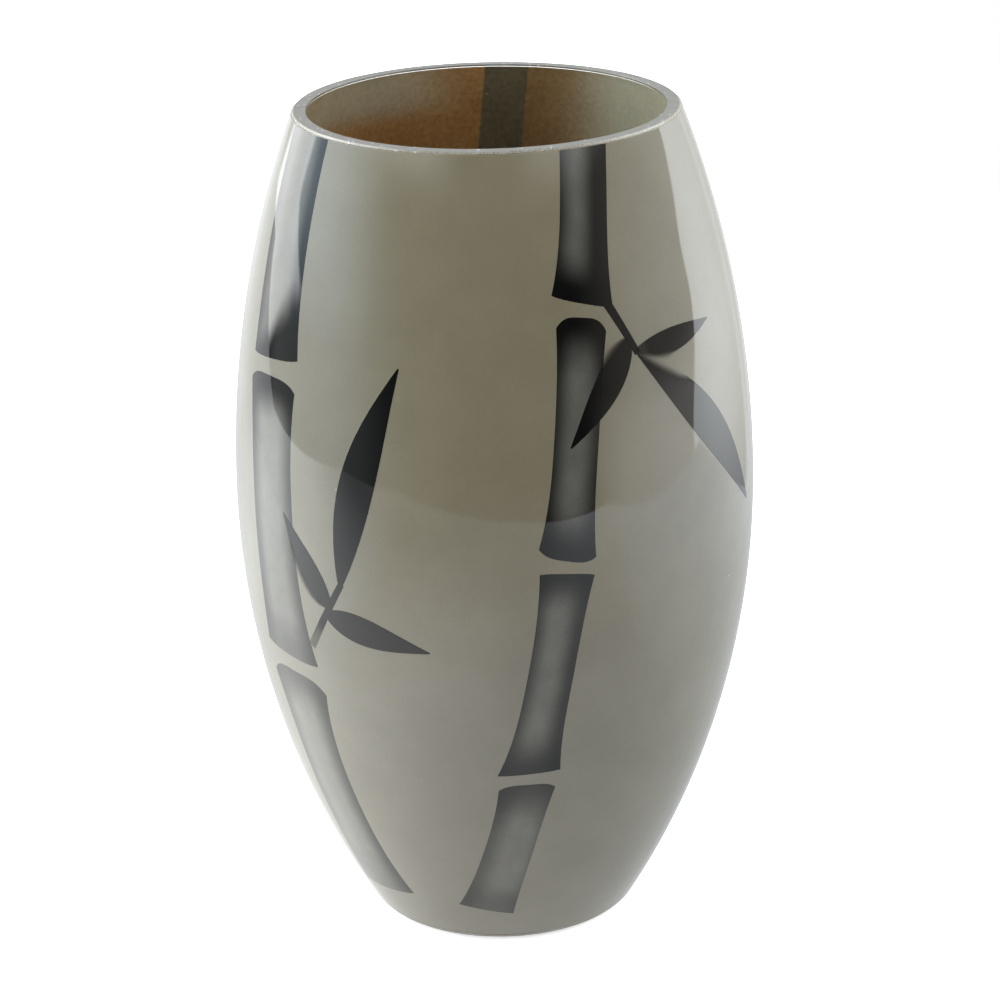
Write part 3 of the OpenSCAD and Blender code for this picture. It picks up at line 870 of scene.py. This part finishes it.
SILVER = {
    "left_culm_top": Silver(full=0.6, centre=-0.1, plateau=0.45, reach=0.95, edge=0.05,
                            low_end=(-2.0, 9.0, 0.0), top_end=(0.0, 9.0, 1.0), lean=16.0),
    "left_culm_middle": Silver(full=1.0, centre=0.0, plateau=0.3, reach=1.05, edge=0.15,
                               low_end=(1.0, 22.0, 0.45), top_end=(3.0, 18.0, 0.0)),
    "left_culm_foot": Silver(full=1.0, centre=-0.05, plateau=0.3, reach=1.05, edge=0.2,
                             low_end=(0.0, 25.0, 0.5), top_end=(0.0, 20.0, 0.3)),
    "front_culm_top": Silver(full=0.6, centre=-0.35, plateau=0.0, reach=0.85, edge=0.03,
                             low_end=(4.0, 17.0, 0.0), top_end=(0.0, 9.0, 1.0)),
    "front_culm_upper": Silver(full=0.76, centre=-0.02, plateau=0.12, reach=1.05, edge=0.1,
                               low_end=(4.0, 22.0, 0.08), top_end=(2.0, 22.0, 0.0)),
    "front_culm_lower": Silver(full=0.88, centre=-0.12, plateau=0.1, reach=1.0, edge=0.15,
                               low_end=(2.0, 20.0, 0.12), top_end=(1.0, 16.0, 0.08)),
    "front_culm_foot": Silver(full=0.95, centre=0.22, plateau=0.2, reach=1.2, edge=0.33,
                              low_end=(3.0, 20.0, 0.4), top_end=(0.0, 22.0, 0.2)),
    "back_culm_top": Silver(full=0.7, centre=-0.2, plateau=0.1, reach=1.0, edge=0.1,
                            low_end=(4.0, 17.0, 0.0), top_end=(0.0, 9.0, 1.0)),
    "back_culm_upper": Silver(full=0.95, centre=0.1, plateau=0.15, reach=1.05, edge=0.2,
                              low_end=(4.0, 18.0, 0.1), top_end=(2.0, 18.0, 0.0)),
    "back_culm_lower": Silver(full=1.0, centre=-0.1, plateau=0.15, reach=1.0, edge=0.2,
                              low_end=(3.0, 20.0, 0.15), top_end=(1.0, 18.0, 0.1)),
    "back_culm_foot": Silver(full=1.0, centre=0.1, plateau=0.2, reach=1.1, edge=0.35,
                             low_end=(3.0, 20.0, 0.4), top_end=(0.0, 20.0, 0.2)),
}
for internode in internodes:
    rows = math.ceil((internode.top - internode.low) / CULM_ROW)

    def silver_mark(s, t, internode=internode):
        return SILVER[internode.name].value(internode, s, t)

    film_piece(internode.name, internode.azimuth, CULM_ACROSS, rows, internode.place, CULM_LIFT,
               culm_spray, {"silver": silver_mark})

# The leaves and twigs: black, with edges that the airbrush left soft in places
LEAF_ROW = 1.2
CRISP = 0.03
SHARP_ACROSS = between(-1.0, 1.0, 16)
SOFT_ACROSS = [1.0 + CRISP, 1.12, 1.25, 1.4, 1.55, 1.7]

# Left and right are as seen from the stalk towards the tip
SOFT_LEFT_ACROSS = SHARP_ACROSS + SOFT_ACROSS
SOFT_RIGHT_ACROSS = [-s for s in reversed(SOFT_ACROSS)] + SHARP_ACROSS


def soft_edge(s, softness, spread_in, spread_out):
    """Cover near the edge at s = 1, sharp where softness is 0 and spread over the edge where it is 1."""
    return 1 - smooth(s, 1 - spread_in * softness, 1 + CRISP + spread_out * softness)


def full_cover(s, t):
    return 1.0


def fading_twig(s, t):
    """Thin at the root and full from half the length."""
    return 0.35 + 0.65 * smooth(t, 0.15, 0.5)


def short_leaf(s, t):
    """Soft along the left edge, apart from its ends."""
    return soft_edge(s, smooth(t, 0.0, 0.1) * smooth(t, 1.0, 0.6), 0.3, 0.6)


def upper_leaf(s, t):
    """Soft along the first part of the right edge, and thin at the stalk."""
    return soft_edge(-s, smooth(t, 0.5, 0.3), 0.5, 0.5) * (0.7 + 0.3 * smooth(t, 0.06, 0.2))


def long_leaf(s, t):
    """Fades to nearly bare towards the left edge near the stalk."""
    return 1 - 0.95 * smooth(s, 6.5 * t - 1.15, 1.0) * smooth(t, 0.32, 0.22)


def down_leaf(s, t):
    """Soft along the first part of the right edge, and a little thin up to its middle."""
    return soft_edge(-s, smooth(t, 0.4, 0.15), 0.4, 0.65) * (0.9 + 0.1 * smooth(t, 0.4, 0.65))


COVERS = {
    "left_twig": (SHARP_ACROSS, fading_twig),
    "back_twig": (SHARP_ACROSS, fading_twig),
    "left_leaf_short": (SOFT_LEFT_ACROSS, short_leaf),
    "back_leaf_short": (SOFT_LEFT_ACROSS, short_leaf),
    "front_leaf_up": (SOFT_RIGHT_ACROSS, upper_leaf),
    "front_leaf_long": (SHARP_ACROSS, long_leaf),
    "front_leaf_down": (SOFT_RIGHT_ACROSS, down_leaf),
}
for sprig in strokes.values():
    for k, stroke in enumerate(sprig):
        across, cover = COVERS.get(stroke.name, (SHARP_ACROSS, full_cover))
        film_piece(stroke.name, stroke.azimuth, across, math.ceil(stroke.length / LEAF_ROW), stroke.place,
                   TWIG_LIFT if k == 0 else LEAF_LIFT, leaf_spray, {"cover": cover})

# Camera
FOCAL_PX = 3304.9
IMAGE_PX = 1000.0
SENSOR_MM = 36.0
CAMERA_DISTANCE = 1.2
LOOK_HEIGHT = 0.15
ELEVATION = math.radians(20.306)
ROLL = math.radians(1.341)
PAN = math.radians(0.077)
TILT = math.radians(0.158)
back = Vector((0.0, -math.cos(ELEVATION), math.sin(ELEVATION)))
level = Matrix(((1.0, 0.0, 0.0), (0.0, math.sin(ELEVATION), math.cos(ELEVATION)), -back))
pan = Matrix.Rotation(-PAN, 3, "Y")
tilt = Matrix.Rotation(TILT, 3, "X")
roll = Matrix.Rotation(ROLL, 3, "Z")
right, up, ahead = roll @ tilt @ pan @ level
camera_data = bpy.data.cameras.new("camera")
camera_data.sensor_width = SENSOR_MM
camera_data.lens = FOCAL_PX / IMAGE_PX * SENSOR_MM
camera = bpy.data.objects.new("camera", camera_data)
bpy.context.scene.collection.objects.link(camera)
turn = Matrix((right, up, -ahead)).transposed()
stand = Vector((0.0, 0.0, LOOK_HEIGHT)) + CAMERA_DISTANCE * back
camera.matrix_world = Matrix.Translation(stand) @ turn.to_4x4()
bpy.context.scene.camera = camera

# Colours of the light
WARM = (1.0, 0.93, 0.82)
CREAM = (0.92, 0.88, 0.82)
DAYLIGHT = (0.97, 0.99, 1.0)
COOL = (0.94, 0.98, 1.0)
PALE_SKY = (0.78, 0.87, 1.0)
SKY = (0.68, 0.86, 1.0)

# Floor: a white table, brightest at the left, where the window is, with a painted shadow under the foot
TABLE_OUTLINE = [(-0.92, -0.39), (-0.59, -0.72), (-0.2, -0.78), (0.12, -0.74), (0.56, -0.54),
                 (0.62, -0.32), (0.9, 0.1), (0.35, 0.36), (0.3, 2.6), (-3.0, 2.6), (-1.37, 0.73),
                 (-1.03, 0.35), (-0.96, -0.01)]
TABLE_WHITE = 0.6
PAPER_DARK = (0.80, 0.80, 0.79, 1.0)
PAPER_LIGHT = (0.84, 0.84, 0.83, 1.0)
TABLE_LIGHT = 0.68
WINDOW_SIDE_LIGHT = 2.0
PANEL_SIDE_LIGHT = 1.1
NEAR_LEFT_LIGHT = 1.1
NEAR_RIGHT_LIGHT = 0.1
FAR_SHARE = 0.34
# Painted shadow: the table's white and glow fade out under the foot, within these distances in metres
FOOT_SHADOW_REACH = (0.034, 0.046)


def white_table():
    """White paper to the eye, straight or through glass. What it throws on the vase changes by place.

    Places are in metres, and the first two numbers of a step say where a change starts and ends.
    """
    material, tree = new_material("white_table")
    path = tree.add("ShaderNodeLightPath")
    table_x, table_y, _ = tree.coordinates()
    spot = {"Vector": tree.place()}
    from_vase = tree.add("ShaderNodeVectorMath", spot, operation="LENGTH").outputs["Value"]
    # Painted shadow under the foot: the paper's added white and the light it throws are dimmed there
    outside_foot_shadow = tree.step(from_vase, *FOOT_SHADOW_REACH)
    window_side = tree.times(tree.step(table_x, 0.0, -0.6), tree.step(table_y, -0.5, 0.0),
                             tree.step(table_y, 0.55, 0.15, FAR_SHARE, 1.0), WINDOW_SIDE_LIGHT)
    panel_side = tree.times(tree.step(table_x, 0.1, 0.6), PANEL_SIDE_LIGHT)
    near_left = tree.times(tree.step(from_vase, 0.6, 0.15), tree.step(table_x, 0.1, -0.2),
                           tree.step(table_y, 0.2, -0.05), NEAR_LEFT_LIGHT)
    near_right = tree.times(tree.step(from_vase, 0.4, 0.1), tree.step(table_x, -0.1, 0.15),
                            NEAR_RIGHT_LIGHT)
    thrown = tree.summed(
        tree.scaled(COOL, tree.plus(window_side, TABLE_LIGHT)),
        tree.scaled(CREAM, near_left),
        tree.scaled(PALE_SKY, tree.plus(panel_side, near_right)))
    glow = tree.add("ShaderNodeEmission", {"Color": thrown, "Strength": outside_foot_shadow}).outputs[0]
    paper_colour = tree.mix(tree.noise(60.0, 3.0), PAPER_DARK, PAPER_LIGHT)
    paper = tree.add("ShaderNodeBsdfDiffuse", {"Color": paper_colour}).outputs[0]
    white = tree.add("ShaderNodeEmission", {"Strength": tree.times(outside_foot_shadow, TABLE_WHITE)}).outputs[0]
    white_paper = tree.add("ShaderNodeAddShader")
    tree.put(white_paper.inputs[0], paper)
    tree.put(white_paper.inputs[1], white)
    seen = tree.calc("MAXIMUM", path.outputs["Is Camera Ray"], path.outputs["Is Transmission Ray"])
    shader = tree.add("ShaderNodeMixShader", {"Fac": seen})
    tree.put(shader.inputs[1], glow)
    tree.put(shader.inputs[2], white_paper.outputs[0])
    tree.surface(shader.outputs[0])
    return material


table_mesh = bpy.data.meshes.new("table")
table_mesh.from_pydata([(x, y, 0.0) for x, y in TABLE_OUTLINE], [], [list(range(len(TABLE_OUTLINE)))])
table_mesh.materials.append(white_table())
table = bpy.data.objects.new("table", table_mesh)
bpy.context.scene.collection.objects.link(table)

# Room round the table: white behind, a window at the left, a white panel at the right, dim in front
WHITE = (1.0, 1.0, 1.0, 1.0)
PANEL_LIGHT = 3.95
PANEL_FAR_LIGHT = 1.35
WINDOW_LIGHT = 3.3
GLOW_LEFT_LIGHT = 1.9
DIM_LEFT_LIGHT = 0.09
LOW_LEFT_LIGHT = 0.4
DIM_RIGHT_LIGHT = 0.5
LOW_RIGHT_LIGHT = 0.75
HIGH_LEFT_LIGHT = 6.6
HIGH_RIGHT_LIGHT = 5.1
PANEL_EDGE = 107.0
PANEL_EDGE_ABOVE = 11.0
PANEL_EDGE_BELOW = -9.5
PANEL_BLUR = 0.6
PANEL_LOW_SHARE = 0.4
WINDOW_RIGHT = (-102.0, -116.5)
WINDOW_LOW = (-12.0, -1.0)
WINDOW_RIGHT_BLUR = 2.0
WINDOW_LOW_BLUR = 1.5
world = bpy.data.worlds.new("room")
world.use_nodes = True
bpy.context.scene.world = world
tree = Tree(world.node_tree)

# Directions are in degrees, with azimuth 0 in front and positive towards the right, apart from side, which
# goes from -1 at the left to 1 at the right
direction = tree.add("ShaderNodeTexCoord").outputs["Generated"]
side, depth, rise = tree.add("ShaderNodeSeparateXYZ", {"Vector": direction}).outputs
azimuth = tree.calc("DEGREES", tree.calc("ARCTAN2", side, tree.times(depth, -1.0)))
elevation = tree.calc("DEGREES", tree.calc("ARCSINE", rise))
panel_edge = tree.plus(PANEL_EDGE, tree.step(elevation, 1.0, 8.0, 0.0, PANEL_EDGE_ABOVE),
                       tree.step(elevation, -2.0, -12.0, 0.0, PANEL_EDGE_BELOW))
past_edge = tree.calc("SUBTRACT", azimuth, panel_edge)
below_ceiling = tree.step(elevation, 60.0, 30.0)
panel = tree.times(tree.step(past_edge, -PANEL_BLUR, PANEL_BLUR),
                   tree.step(azimuth, 105.0, 150.0, PANEL_LIGHT, PANEL_FAR_LIGHT),
                   tree.step(elevation, -24.0, -9.0, PANEL_LOW_SHARE, 1.0), below_ceiling)
window_right = tree.step(elevation, -0.5, 4.0, *WINDOW_RIGHT)
window_low = tree.step(azimuth, -135.0, -103.0, *WINDOW_LOW)
past_right = tree.calc("SUBTRACT", azimuth, window_right)
above_low = tree.calc("SUBTRACT", elevation, window_low)
window = tree.times(tree.step(azimuth, -152.0, -144.0),
                    tree.step(past_right, WINDOW_RIGHT_BLUR, -WINDOW_RIGHT_BLUR),
                    tree.step(above_low, -WINDOW_LOW_BLUR, WINDOW_LOW_BLUR), below_ceiling, WINDOW_LIGHT)
glow_left = tree.times(tree.step(azimuth, -50.0, -90.0), tree.step(azimuth, -125.0, -112.0),
                       tree.step(elevation, -6.0, 8.0), below_ceiling, GLOW_LEFT_LIGHT)
dim_left = tree.times(tree.step(side, -0.6, -0.95), DIM_LEFT_LIGHT)
low_left = tree.times(tree.step(azimuth, -40.0, -70.0), tree.step(azimuth, -124.0, -112.0),
                      tree.step(elevation, 2.0, -6.0), LOW_LEFT_LIGHT)
before_panel = tree.step(past_edge, PANEL_BLUR, -PANEL_BLUR)
dim_right = tree.times(tree.step(side, 0.6, 0.95), before_panel, DIM_RIGHT_LIGHT)
low_right = tree.times(tree.step(azimuth, 40.0, 60.0), before_panel, tree.step(elevation, -2.0, -9.0),
                       LOW_RIGHT_LIGHT)
high = tree.times(tree.step(elevation, 18.0, 34.0), tree.step(elevation, 70.0, 45.0))
high_left = tree.times(high, tree.step(side, -0.15, -0.75), HIGH_LEFT_LIGHT)
high_right = tree.times(high, tree.step(side, 0.15, 0.75), HIGH_RIGHT_LIGHT)
behind = tree.step(tree.calc("ABSOLUTE", azimuth), 146.0, 154.0)
room = tree.summed(
    tree.scaled(COOL, tree.plus(panel, dim_left, low_left, high_left, high_right)),
    tree.scaled(DAYLIGHT, tree.plus(window, behind, low_right)),
    tree.scaled(WARM, dim_right), tree.scaled(SKY, glow_left))
path = tree.add("ShaderNodeLightPath")
mirrored_behind = tree.times(path.outputs["Is Glossy Ray"], behind)
seen = tree.calc("MAXIMUM", path.outputs["Is Camera Ray"], path.outputs["Is Transmission Ray"])
shown = tree.calc("MAXIMUM", seen, mirrored_behind)
colour = tree.mix(shown, room, WHITE)
background = tree.add("ShaderNodeBackground", {"Color": colour, "Strength": 1.0}).outputs[0]
tree.add("ShaderNodeOutputWorld", {"Surface": background})

bpy.context.scene.view_settings.view_transform = "Standard"
